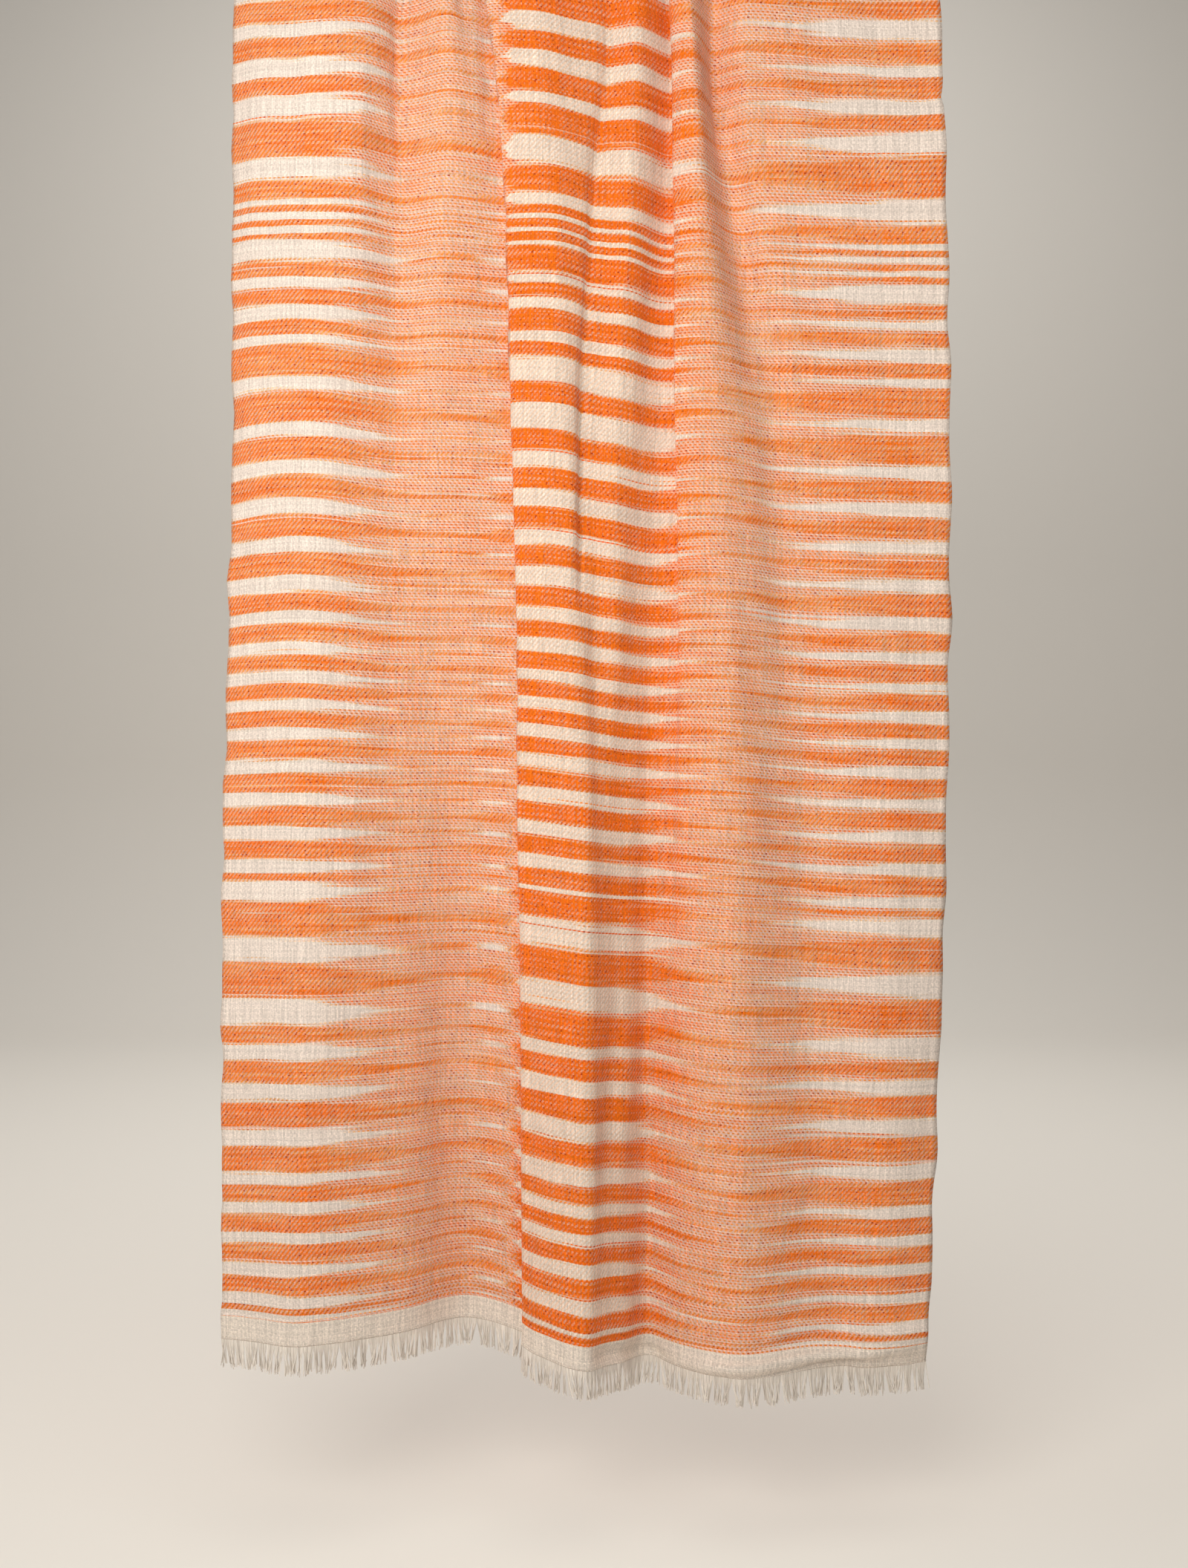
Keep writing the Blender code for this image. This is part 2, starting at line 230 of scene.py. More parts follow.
def settled_slopes(places, values):
    """Slopes that never carry a curve past its own values: the harmonic mean of the ones on each side."""
    sides = np.diff(values) / np.diff(places)
    before, after = sides[:-1], sides[1:]
    agree = before * after > 0
    mean = 2 * before * after / np.where(agree, before + after, 1.0)
    return np.concatenate([sides[:1], np.where(agree, mean, 0.0), sides[-1:]])


def follow(places, values, at, slopes=None):
    """Read the smooth curve that passes through values, at each place in at."""
    places = np.asarray(places, float)
    values = np.asarray(values, float)
    at = np.clip(at, places[0], places[-1])
    if slopes is None:
        slopes = np.gradient(values, places)
    k = np.clip(np.searchsorted(places, at) - 1, 0, len(places) - 2)
    step = places[k + 1] - places[k]
    t = (at - places[k]) / step
    return (
        (1 + 2 * t) * (1 - t) ** 2 * values[k]
        + t * (1 - t) ** 2 * step * slopes[k]
        + t * t * (3 - 2 * t) * values[k + 1]
        + t * t * (t - 1) * step * slopes[k + 1]
    )


def at_level(values_mm, level):
    """Read a fold's column at a level, in metres. The curve down the fall starts plumb at the rod."""
    slopes = np.gradient(values_mm, LEVELS)
    slopes[0] = 0.0
    return float(follow(LEVELS, values_mm, level, slopes)) / 1000


def sag_at(level, shares):
    """How far the weft lies below a level, at shares of the cloth's width."""
    lower = [
        float(follow(SAG_LEVELS, sag.lower_mm, level, settled_slopes(SAG_LEVELS, sag.lower_mm))) / 1000
        for sag in SAGS
    ]
    return follow([sag.share for sag in SAGS], lower, shares)


FINE_STEPS = 1500


def dense_section(level):
    """A section across the cloth at a level, finely stepped: across, forward, and share of the width."""
    across = np.array([at_level(fold.across_mm, level) for fold in FOLDS])
    forward = np.array([at_level(fold.forward_mm, level) for fold in FOLDS])
    knots = np.concatenate([[0.0], np.cumsum(np.sqrt(np.hypot(np.diff(across), np.diff(forward))))])
    at = np.linspace(knots[0], knots[-1], FINE_STEPS)
    across, forward = follow(knots, across, at), follow(knots, forward, at)
    lengths = np.concatenate([[0.0], np.cumsum(np.hypot(np.diff(across), np.diff(forward)))])
    return across, forward, lengths / lengths[-1]


COLUMNS = 224
TURN_WEIGHT = 0.035  # how much cloth a radian of turn counts for, when the columns are shared out


def column_shares():
    """Shares of the width for the mesh's columns: closer together where the folds turn sharply."""
    steps = np.linspace(0.0, 1.0, FINE_STEPS)
    weight = np.ones(FINE_STEPS)
    for level in LEVELS[1:]:
        across, forward, shares = dense_section(level)
        heading = np.unwrap(np.arctan2(np.gradient(forward), np.gradient(across)))
        turning = np.abs(np.gradient(heading)) / np.gradient(shares * CLOTH_WIDTH)
        weight += TURN_WEIGHT * np.interp(steps, shares, turning) / len(LEVELS[1:])
    running = np.concatenate([[0.0], np.cumsum((weight[1:] + weight[:-1]) / 2)])
    return np.interp(np.linspace(0.0, running[-1], COLUMNS), running, steps)


SHARES = column_shares()


def section(level):
    """The mesh's points across the cloth at a level: across, forward and lower."""
    across, forward, shares = dense_section(level)
    return np.interp(SHARES, shares, across), np.interp(SHARES, shares, forward), sag_at(level, SHARES)


# The end band's lower right kicks forward. At each place along X, the kick is greatest at the depth below
# the band's top, and reaches out by the height.
KickPoint = namedtuple("KickPoint", "across below height")
HEM_KICK = (
    KickPoint(0.070, 0.020, 0.000),
    KickPoint(0.110, 0.017, 0.008),
    KickPoint(0.154, 0.016, 0.010),
    KickPoint(0.176, 0.013, 0.010),
    KickPoint(0.216, 0.002, 0.009),
    KickPoint(0.275, -0.008, 0.007),
)
KICK_RISE = 0.024  # the length of cloth over which it comes forward
KICK_FALL = 0.034  # and the length over which it would swing as far back


def hem_kick(across, below):
    """How far the end band kicks forward, below being the depth under the top of the band."""
    edge = follow([p.across for p in HEM_KICK], [p.below for p in HEM_KICK], across)
    height = follow([p.across for p in HEM_KICK], [p.height for p in HEM_KICK], across)
    past = below - edge
    share = np.clip(1 + past / KICK_RISE, 0.0, 1.0)
    rising = height * share * share * (3 - 2 * share)
    falling = height * np.cos(math.pi * np.clip(past / KICK_FALL, 0.0, 1.0))
    return np.where(past < 0, rising, falling)


def front_row(level):
    """The front fall's points at a level."""
    across, forward, lower = section(min(level, TOP_OF_BAND))
    kick = hem_kick(across, level - TOP_OF_BAND)
    return np.stack([across, -(forward + kick), -(level + lower)], axis=1)


def over_row(share):
    """The cloth's points at a share of the way round the rod, from the front to the back."""
    across, forward, _ = section(0.0)
    angle = math.pi * share
    return np.stack([across, -forward * math.cos(angle), forward * math.sin(angle)], axis=1)


BACK_SPREAD = 0.015  # the shares by which the back fall gets wider and its folds get flatter
BACK_FLATTENS = 0.12
BACK_WAVE = 0.004  # the shallow wave that it ends in
BACK_WAVE_LENGTH = 0.2027
BACK_WAVE_START = 0.1273  # as a share of the wave's length
BACK_STANDS_OFF = 0.002


def back_row(level):
    """The back fall's points at a level: the rod's folds, spreading and settling on the way down."""
    share = level / BACK_LENGTH
    settle = share * share * (3 - 2 * share)
    across, forward, _ = section(0.0)
    wave = BACK_WAVE * np.sin(2 * math.pi * (across / BACK_WAVE_LENGTH + BACK_WAVE_START))
    back = forward * (1 - BACK_FLATTENS * settle) + (wave + BACK_STANDS_OFF) * settle
    return np.stack([across * (1 + BACK_SPREAD * settle), back, np.full(len(across), -level)], axis=1)


# The weaver's order of stripes down the front fall, from above the fall's first whole stripe to the
# cream band: each row is a run of like stripes, with the orange and the cream of each in millimetres.
Stripes = namedtuple("Stripes", "name count orange_mm cream_mm")
STRIPE_ORDER = (
    Stripes("first", 1, 17.4, 13.8),
    Stripes("second", 1, 17.4, 17.4),
    Stripes("slim", 1, 12.6, 21.0),
    Stripes("bold", 1, 28.2, 20.4),
    Stripes("before the pins", 1, 12.6, 6.0),
    Stripes("pins", 2, 4.5, 6.3),
    Stripes("last pin", 1, 3.6, 19.8),
    Stripes("short steps", 1, 10.2, 10.2),
    Stripes("middle step", 1, 12.0, 15.0),
    Stripes("last step", 1, 10.8, 8.4),
    Stripes("broad pair", 2, 24.3, 13.8),
    Stripes("even run", 4, 16.5, 14.4),
    Stripes("closing", 2, 13.2, 11.4),
    Stripes("close run", 3, 11.4, 10.8),
    Stripes("opening run", 4, 13.8, 12.6),
    Stripes("single pin", 1, 4.2, 18.6),
    Stripes("widest", 2, 26.7, 24.0),
    Stripes("lower slim", 1, 12.6, 15.0),
    Stripes("lower middle", 1, 16.8, 16.8),
    Stripes("lower broad", 1, 20.4, 16.2),
    Stripes("lower step", 1, 19.2, 10.8),
    Stripes("last run", 4, 13.2, 10.8),
    Stripes("end pin", 1, 3.6, 5.4),
)
FIRST_STRIPE = 0.0968
LEAST_STRIPE = 0.008  # the narrowest stripe where the back's order meets the front's


def stripe_edges():
    """Each edge between orange and cream, as (distance down the cloth, phase): a whole phase starts an
    orange stripe, and a half starts the cream after it. The back has the same order from its own end."""
    widths = [
        width / 1000
        for run in STRIPE_ORDER
        for _ in range(run.count)
        for width in (run.orange_mm, run.cream_mm)
    ]
    front = FIRST_STRIPE + np.concatenate([[0.0], np.cumsum(widths)])
    back_end = -(OVER_ROD + BACK_LENGTH - END_BAND)
    room = FIRST_STRIPE - back_end
    back = np.cumsum(widths[::-1])
    count = int(np.searchsorted(back, room - LEAST_STRIPE))
    count -= 1 - count % 2
    phases = np.arange(-count, len(front)) / 2
    return np.concatenate([back_end + back[:count], front]), phases


EDGE_AT, EDGE_PHASE = stripe_edges()
LEAST_STEP = 0.002  # an edge as near as this to the end of a stretch has no row of its own
FRONT_STEP = 0.0125  # the longest steps between rows, down the front and up the back
BACK_STEP = 0.022
CLOSE_FROM = 0.022  # the rows lie close from this far above the end band
CLOSE_STEP = 0.003
CLOSE_ROWS = 18
TURN_STEPS = 12


def rows_between(start, end, longest):
    """Places down the cloth from start to end, with one on each stripe's edge, none further than longest."""
    keys = [start, *[edge for edge in EDGE_AT if start + LEAST_STEP < edge < end - LEAST_STEP], end]
    places = [start]
    for here, there in zip(keys, keys[1:]):
        steps = max(1, math.ceil((there - here) / longest))
        places.extend(here + (there - here) * k / steps for k in range(1, steps + 1))
    return places


back_places = rows_between(-(OVER_ROD + BACK_LENGTH), -OVER_ROD, BACK_STEP)
turn_shares = np.linspace(0.0, 1.0, TURN_STEPS + 1)[1:-1]
front_places = rows_between(0.0, TOP_OF_BAND - CLOSE_FROM - CLOSE_STEP, FRONT_STEP)
front_places += list(np.linspace(TOP_OF_BAND - CLOSE_FROM, FRONT_LENGTH, CLOSE_ROWS))

cloth_rows = [back_row(-(place + OVER_ROD)) for place in back_places]
cloth_rows += [over_row(1 - share) for share in turn_shares]
cloth_rows += [front_row(place) for place in front_places]
grid = np.array(cloth_rows)
downs = np.array([*back_places, *(-OVER_ROD * (1 - turn_shares)), *front_places])


# Small creases that the cloth keeps from its folding: each is a soft ridge or, where its height is below
# zero, a soft hollow, that runs between two places on the cloth. Across is a share of the width.
Crease = namedtuple("Crease", "name across down width_mm height_mm")
CREASES = (
    Crease("left border's press line", (0.165, 0.175), (0.12, 0.30), 3.0, 0.5),
    Crease("left border's long hollow", (0.055, 0.045), (0.20, 1.05), 16.0, -1.2),
    Crease("left gather", (0.216, 0.221), (0.02, 0.27), 6.0, -4.0),
    Crease("left gather's tail", (0.214, 0.196), (0.22, 0.62), 9.0, -1.4),
    Crease("second gather", (0.300, 0.302), (0.02, 0.13), 6.0, -3.0),
    Crease("second gather's rim", (0.318, 0.322), (0.02, 0.24), 5.0, 1.4),
    Crease("left hollow's ridge", (0.215, 0.150), (0.30, 1.00), 12.0, 1.0),
    Crease("swell's slack", (0.120, 0.095), (0.42, 0.86), 14.0, 1.0),
    Crease("low left slack", (0.070, 0.120), (0.80, 1.12), 15.0, 1.2),
    Crease("second swell's dent", (0.255, 0.270), (0.35, 0.72), 9.0, -1.0),
    Crease("second swell's low dent", (0.290, 0.275), (0.80, 1.10), 9.0, -1.0),
    Crease("middle's slack", (0.430, 0.415), (0.55, 0.98), 10.0, 1.0),
    Crease("middle's low hollow", (0.470, 0.450), (0.86, 1.14), 12.0, -1.4),
    Crease("centre crease's top", (0.526, 0.494), (0.02, 0.26), 5.0, -4.2),
    Crease("centre crease", (0.501, 0.491), (0.12, 0.46), 5.0, -5.0),
    Crease("centre crease's foot", (0.490, 0.503), (0.34, 0.62), 5.0, -5.0),
    Crease("middle panel's edge", (0.517, 0.519), (0.58, 1.18), 5.0, 1.2),
    Crease("under the middle panel's edge", (0.564, 0.572), (0.52, 1.20), 14.0, -6.0),
    Crease("third swell's press line", (0.560, 0.555), (0.18, 0.60), 5.0, 0.7),
    Crease("right gather", (0.722, 0.724), (0.02, 0.22), 6.0, -2.8),
    Crease("right swell's crest", (0.764, 0.780), (0.04, 0.36), 8.0, 1.5),
    Crease("roll's dent", (0.690, 0.700), (0.26, 0.66), 8.0, -0.8),
    Crease("roll's low dent", (0.700, 0.715), (0.74, 1.10), 9.0, 0.9),
    Crease("right swell's slack", (0.800, 0.770), (0.36, 0.84), 13.0, -1.1),
    Crease("right panel's long ridge", (0.885, 0.865), (0.22, 0.92), 14.0, 1.2),
    Crease("right border's hollow", (0.955, 0.960), (0.30, 1.02), 12.0, -1.1),
    Crease("nick at the right selvedge", (1.000, 0.930), (0.142, 0.150), 3.0, -1.8),
    Crease("nick's upper lip", (1.000, 0.930), (0.134, 0.141), 3.5, 1.4),
    Crease("press line over the end band", (0.720, 0.995), (1.150, 1.128), 4.0, 1.2),
    Crease("hollow over the end band", (0.700, 0.985), (1.138, 1.116), 5.0, -1.0),
    Crease("low right drag", (0.900, 0.780), (0.98, 1.12), 10.0, -1.1),
    Crease("roll along the end band", (0.660, 1.000), (1.168, 1.155), 3.5, 4.0),
    Crease("under the roll", (0.640, 1.000), (1.176, 1.165), 4.0, -5.5),
    Crease("end band turned back", (0.530, 0.690), (1.160, 1.172), 7.0, -6.0),
)
CREASE_FADE = 0.28  # the share of a crease's length in which it fades out at each end
SELVEDGE_START = 0.6  # how much of its height a crease has where it starts at the right selvedge
CREASE_OVERRUN = 0.02
ANY_START = (0, 6.28)  # where a wave may start, in radians
RIPPLES = 22
RIPPLE_WIDTHS = (0.022, 0.075)
RIPPLE_LENGTHS = (0.12, 0.50)
RIPPLE_STEEPNESS = 0.0022  # a ripple's height as a share of its width
WANDERS = 9
WANDER_LENGTHS = (0.012, 0.11)
WANDER_STEEPNESS = 0.0045
WANDER_REACH = 0.010  # how far into the cloth a selvedge's straying is felt


def crease_height(across, down):
    """How far the creases lift the cloth, for grids of places across it and down it."""
    lift = np.zeros_like(across)
    for crease in CREASES:
        start = np.array([crease.across[0] * CLOTH_WIDTH, crease.down[0]])
        run = np.array([crease.across[1] * CLOTH_WIDTH, crease.down[1]]) - start
        along = ((across - start[0]) * run[0] + (down - start[1]) * run[1]) / (run @ run)
        aside = ((across - start[0]) * run[1] - (down - start[1]) * run[0]) / math.hypot(*run)
        inside = np.clip(along, 0.0, 1.0)
        at_ends = SELVEDGE_START if crease.across[0] == 1.0 else 0.0
        fade = np.clip(np.minimum(inside, 1 - inside) / CREASE_FADE + at_ends, 0, 1) ** 1.5
        fade *= (along > -CREASE_OVERRUN) & (along < 1 + CREASE_OVERRUN)
        lift += crease.height_mm / 1000 * fade * np.exp(-((aside * 1000 / crease.width_mm) ** 2))
    return lift


def slackness(across, down):
    """The cloth's own unevenness: shallow ripples, longer down the fall than across it."""
    chance = np.random.default_rng(8)
    ripple = np.zeros_like(across)
    for _ in range(RIPPLES):
        wide = chance.uniform(*RIPPLE_WIDTHS)
        tall = chance.uniform(*RIPPLE_LENGTHS) * chance.choice([-1, 1])
        ripple += wide * np.sin(2 * math.pi * (across / wide + down / tall) + chance.uniform(*ANY_START))
    return ripple * RIPPLE_STEEPNESS


def selvedge_wander(down, from_selvedge, seed):
    """How far the cloth strays sideways near a selvedge, in small uneven waves."""
    chance = np.random.default_rng(seed)
    waves = [(chance.uniform(*WANDER_LENGTHS), chance.uniform(*ANY_START)) for _ in range(WANDERS)]
    stray = sum(length * np.sin(2 * math.pi * down / length + start) for length, start in waves)
    return WANDER_STEEPNESS * stray * np.exp(-from_selvedge / WANDER_REACH)


FREE_AFTER = 0.12  # how far from the rod the cloth's creases are full, because the rod smooths them
NICK_DOWN = 0.142  # a small nick in the right selvedge, with the cloth puckered beside it
NICK_DEPTH = 0.0045
NICK_HALF = 0.004
NICK_REACH = 0.012
across_grid, down_grid = np.meshgrid(SHARES * CLOTH_WIDTH, downs)
from_right = CLOTH_WIDTH - across_grid
outward = np.cross(np.gradient(grid, axis=0), np.gradient(grid, axis=1))
outward /= np.linalg.norm(outward, axis=2, keepdims=True)
clear_of_rod = np.abs(down_grid + OVER_ROD / 2) - OVER_ROD / 2
hanging = np.clip(clear_of_rod / FREE_AFTER, 0.0, 1.0)
lift = crease_height(across_grid, down_grid) + slackness(across_grid, down_grid)
grid += outward * (lift * hanging)[..., None]
stray = selvedge_wander(down_grid, across_grid, 3) + selvedge_wander(down_grid, from_right, 4)
nick = NICK_DEPTH * np.exp(-(((down_grid - NICK_DOWN) / NICK_HALF) ** 2) - from_right / NICK_REACH)
grid[..., 0] += stray * hanging - nick


# The weave. Cream warp and ikat-dyed weft, in a twill that passes each thread over two and under two.
# The material draws the threads one by one, from the place that each point has on the flat cloth.
WARP_PITCH = 0.00100  # one warp thread across the cloth, drawn twice as coarse as the real 0.50 mm
WEFT_PITCH = 0.00112  # one pick down the cloth, drawn three quarters coarser than the real 0.64 mm
TWILL_REPEAT = 4
CREAM = linear("#ecdfd5")
ORANGE = linear("#ef7412")
STRONGEST = 2.4  # the strongest that the dye takes, where 1 gives the orange above
WARP_TINT = 0.72  # how much orange an undyed warp thread takes up from a solid orange stripe round it
CREEP = (0.12, 0.24)  # the least and the most that the dye crept past its ties
STRAY = 0.24  # how far one pick in twenty is out of its place, in turns of the stripes

# How far the dyed lengths have moved on from the left selvedge, in turns of the stripes, at a share of the
# way across. They hardly move in the left border and along the middle, and move fast just beside them.
Drift = namedtuple("Drift", "share turns")
DRIFTS = (
    Drift(0.000, 0.000),
    Drift(0.120, 0.020),
    Drift(0.170, 0.110),
    Drift(0.230, 0.205),
    Drift(0.300, 0.240),
    Drift(0.376, 0.255),
    Drift(0.397, 0.470),
    Drift(0.430, 0.490),
    Drift(0.500, 0.500),
    Drift(0.540, 0.530),
    Drift(0.600, 0.555),
    Drift(0.640, 0.630),
    Drift(0.690, 0.715),
    Drift(0.750, 0.780),
    Drift(0.800, 0.830),
    Drift(0.900, 0.930),
    Drift(1.000, 1.000),
)

# What is uneven in the weaving, the dye and the yarn. Each row is a cloudy pattern, with the size of its
# clouds along the weft and down the warp, the levels of it that are used and what they become. The
# rows that go by pick change at each pick, and count picks down the warp in place of millimetres.
Unevenness = namedtuple("Unevenness", "name by_pick along_mm down detail used gives")
UNEVENNESS = (
    Unevenness("bundles of picks stray", False, 111.11, 4.348, 1.0, (0.25, 0.75), (-0.035, 0.035)),
    Unevenness("each pick strays", True, 76.92, 1.368, 1.0, (0.20, 0.80), (-0.065, 0.065)),
    Unevenness("dye took unevenly", False, 142.86, 29.41, 2.0, (0.30, 0.70), (0.74, 1.12)),
    Unevenness("dye lies in streaks", True, 62.50, 2.1277, 2.0, (0.28, 0.72), (0.62, 1.25)),
    Unevenness("dye pooled in specks", True, 3.8462, 1.2048, 0.0, (0.73, 0.78), (0.0, 0.85)),
    Unevenness("yarn runs thick and thin", False, 1.6667, 25.0, 1.0, (0.30, 0.70), (0.91, 1.09)),
    Unevenness("yarn has small clots", False, 1.5625, 1.7857, 1.0, (0.30, 0.70), (0.90, 1.10)),
)


def dyed_yarn(strength):
    """The colour of cream wool that took up the orange dye at a strength: weak dye is yellower."""
    return tuple(cream * (orange / cream) ** strength for cream, orange in zip(CREAM, ORANGE))


def ikat_dyed_pashmina_twill():
    """Fine wool twill, woven on a hand loom from plain cream warp and weft that was tied and dyed first.

    The dyed lengths run out of step from one pick to the next: every other pick climbs across the cloth
    and the ones between fall, so orange meets orange at the borders and the middle, and cream between.
    That gives the eye orange stripes that split into thin wedges of thread and read as pink where only
    every other pick is orange, a fine slanting twill, a dry matt face and a slight haze of loose fibre.
    """
    material, add, shader = new_finish("ikat_dyed_pashmina_twill")
    weave = add("ShaderNodeUVMap", uv_map="weave")
    across, down, _ = add("ShaderNodeSeparateXYZ", {"Vector": weave}).outputs
    phase = add("ShaderNodeAttribute", attribute_name="stripe").outputs["Fac"]
    moved = add("ShaderNodeAttribute", attribute_name="drift").outputs["Fac"]

    # Which thread is where: the pick, the warp end, and which of the two lies on top.
    pick_at = add("ShaderNodeMath", {0: down, 1: WEFT_PITCH}, operation="DIVIDE")
    end_at = add("ShaderNodeMath", {0: across, 1: WARP_PITCH}, operation="DIVIDE")
    pick = add("ShaderNodeMath", {0: pick_at}, operation="FLOOR")
    end = add("ShaderNodeMath", {0: end_at}, operation="FLOOR")
    pair = add("ShaderNodeMath", {0: pick, 1: end}, operation="ADD")
    twill = add("ShaderNodeMath", {0: pair, 1: TWILL_REPEAT}, operation="FLOORED_MODULO")
    weft_over = add("ShaderNodeMath", {0: twill, 1: TWILL_REPEAT / 2 - 0.5}, operation="LESS_THAN")
    odd = add("ShaderNodeMath", {0: pick, 1: 2.0}, operation="FLOORED_MODULO")
    climb = add("ShaderNodeMapRange", {"Value": odd, "To Min": 1.0, "To Max": -1.0})
    fall = add("ShaderNodeMath", {0: climb, 1: -1.0}, operation="MULTIPLY")

    # The uneven patterns, by name.
    loom = add("ShaderNodeCombineXYZ", {"X": across, "Y": pick})
    uneven = {}
    for row in UNEVENNESS:
        base, down_scale = (loom, 1 / row.down) if row.by_pick else (weave, 1000 / row.down)
        place = add("ShaderNodeMapping", {"Vector": base, "Scale": (1000 / row.along_mm, down_scale, 1.0)})
        noise = add(
            "ShaderNodeTexNoise", {"Vector": place, "Scale": 1.0, "Detail": row.detail},
            noise_dimensions="2D",
        )
        limits = zip(("From Min", "From Max", "To Min", "To Max"), (*row.used, *row.gives))
        uneven[row.name] = add("ShaderNodeMapRange", {"Value": noise, **dict(limits)})

    # How near the dyed lengths are to meeting along the middle, and how far the dye crept past its ties,
    # which shows most between the borders and the middle, where every other pick is orange.
    turn = add("ShaderNodeMath", {0: moved, 1: 2 * math.pi}, operation="MULTIPLY")
    meeting = add("ShaderNodeMath", {0: turn}, operation="COSINE")
    centre = add(
        "ShaderNodeMapRange",
        {"Value": meeting, "From Min": -1.0, "From Max": 0.0, "To Min": 1.0, "To Max": 0.0},
    )
    half_turn = add("ShaderNodeMath", {0: moved, 1: 4 * math.pi}, operation="MULTIPLY")
    apart = add("ShaderNodeMath", {0: half_turn}, operation="COSINE")
    creep = add(
        "ShaderNodeMapRange",
        {"Value": apart, "From Min": -1.0, "From Max": 1.0, "To Min": CREEP[1], "To Max": CREEP[0]},
    )

    # How far the dyed lengths strayed on the loom: bundles of picks together, each pick by itself, and a
    # few picks by a lot.
    bundle = uneven["bundles of picks stray"]
    wander = add("ShaderNodeMath", {0: uneven["each pick strays"], 1: bundle}, operation="ADD")
    pick_chance = add("ShaderNodeTexWhiteNoise", {"W": pick}, noise_dimensions="1D")
    rare = add("ShaderNodeMath", {0: pick_chance, 1: 0.95}, operation="GREATER_THAN")
    chances = add("ShaderNodeSeparateXYZ", {"Vector": pick_chance.outputs["Color"]}).outputs
    stray = add("ShaderNodeMapRange", {"Value": chances[1], "To Min": -STRAY, "To Max": STRAY})
    stray = add("ShaderNodeMath", {0: stray, 1: rare, 2: wander}, operation="MULTIPLY_ADD")
    own_start = add("ShaderNodeMath", {0: phase, 1: stray}, operation="ADD")
    next_start = add("ShaderNodeMath", {0: phase, 1: bundle}, operation="ADD")

    # The cream bands at the two ends have no dyed weft.
    back_band = -(OVER_ROD + BACK_LENGTH - END_BAND)
    below_top = add("ShaderNodeMath", {0: down, 1: TOP_OF_BAND}, operation="LESS_THAN")
    above_back = add("ShaderNodeMath", {0: down, 1: back_band}, operation="GREATER_THAN")
    striped = add("ShaderNodeMath", {0: below_top, 1: above_back}, operation="MULTIPLY")

    # The dye on this pick, and on the picks on each side of it.
    dye_on = []
    for direction, start in ((climb, own_start), (fall, next_start)):
        along = add("ShaderNodeMath", {0: moved, 1: direction, 2: start}, operation="MULTIPLY_ADD")
        angle = add("ShaderNodeMath", {0: along, 1: 2 * math.pi}, operation="MULTIPLY")
        wave = add("ShaderNodeMath", {0: angle}, operation="SINE")
        wave = add("ShaderNodeMath", {0: wave, 1: creep}, operation="ADD")
        dye = add(
            "ShaderNodeMapRange", {"Value": wave, "From Min": -0.28, "From Max": 0.34},
            interpolation_type="SMOOTHSTEP",
        )
        dye_on.append(add("ShaderNodeMath", {0: dye, 1: striped}, operation="MULTIPLY"))
    own, beside = dye_on

    # The dye took weaker and yellower here, stronger and redder there, in long streaks. It is strongest
    # along the middle of the cloth, where some of it bled into the cream as well.
    richer = add("ShaderNodeMapRange", {"Value": centre, "To Min": 1.02, "To Max": 1.75})
    paler = add(
        "ShaderNodeMapRange",
        {"Value": creep, "From Min": CREEP[0], "From Max": CREEP[1], "To Min": 1.0, "To Max": 0.72},
    )
    strength = uneven["dye took unevenly"]
    for factor in (uneven["dye lies in streaks"], richer, paler):
        strength = add("ShaderNodeMath", {0: strength, 1: factor}, operation="MULTIPLY")
    bled = add("ShaderNodeMath", {0: centre, 1: 0.05}, operation="MULTIPLY")
    taken = add("ShaderNodeMath", {0: own, 1: strength, 2: bled}, operation="MULTIPLY_ADD")
    taken = add("ShaderNodeMapRange", {"Value": taken, "From Max": STRONGEST})
    dye_ramp = add("ShaderNodeValToRGB", {"Fac": taken})
    stops = dye_ramp.color_ramp.elements
    stops[0].color = dyed_yarn(0.0)
    stops[1].color = dyed_yarn(STRONGEST)
    for stop in (0.04, 0.10, 0.24, 0.40, 0.65):
        stops.new(stop).color = dyed_yarn(stop * STRONGEST)

    # The undyed warp takes up some orange from the picks round it, most in the middle, and some ends more
    # than others.
    around = add("ShaderNodeMath", {0: own, 1: beside}, operation="ADD")
    bare = add("ShaderNodeMapRange", {"Value": around, "From Max": 2.0, "To Min": 1.0, "To Max": 0.0})
    bare = add("ShaderNodeMath", {0: bare, 1: 1.7}, operation="POWER")
    tint = add("ShaderNodeMapRange", {"Value": bare, "To Min": WARP_TINT, "To Max": 0.0})
    deeper = add("ShaderNodeMapRange", {"Value": centre, "To Min": 1.0, "To Max": 1.36})
    end_chance = add("ShaderNodeTexWhiteNoise", {"W": end}, noise_dimensions="1D")
    thirst = add("ShaderNodeMapRange", {"Value": end_chance, "To Min": 0.80, "To Max": 1.20})
    for factor in (uneven["dye lies in streaks"], deeper, thirst):
        tint = add("ShaderNodeMath", {0: tint, 1: factor}, operation="MULTIPLY")
    band = add("ShaderNodeMath", {0: 1.0, 1: striped}, operation="SUBTRACT")
    cream = add("ShaderNodeMix", {0: band, 6: CREAM, 7: linear("#eadfd3")}, data_type="RGBA").outputs[2]
    warp_yarn = add("ShaderNodeMix", {0: tint, 6: cream, 7: ORANGE}, data_type="RGBA").outputs[2]

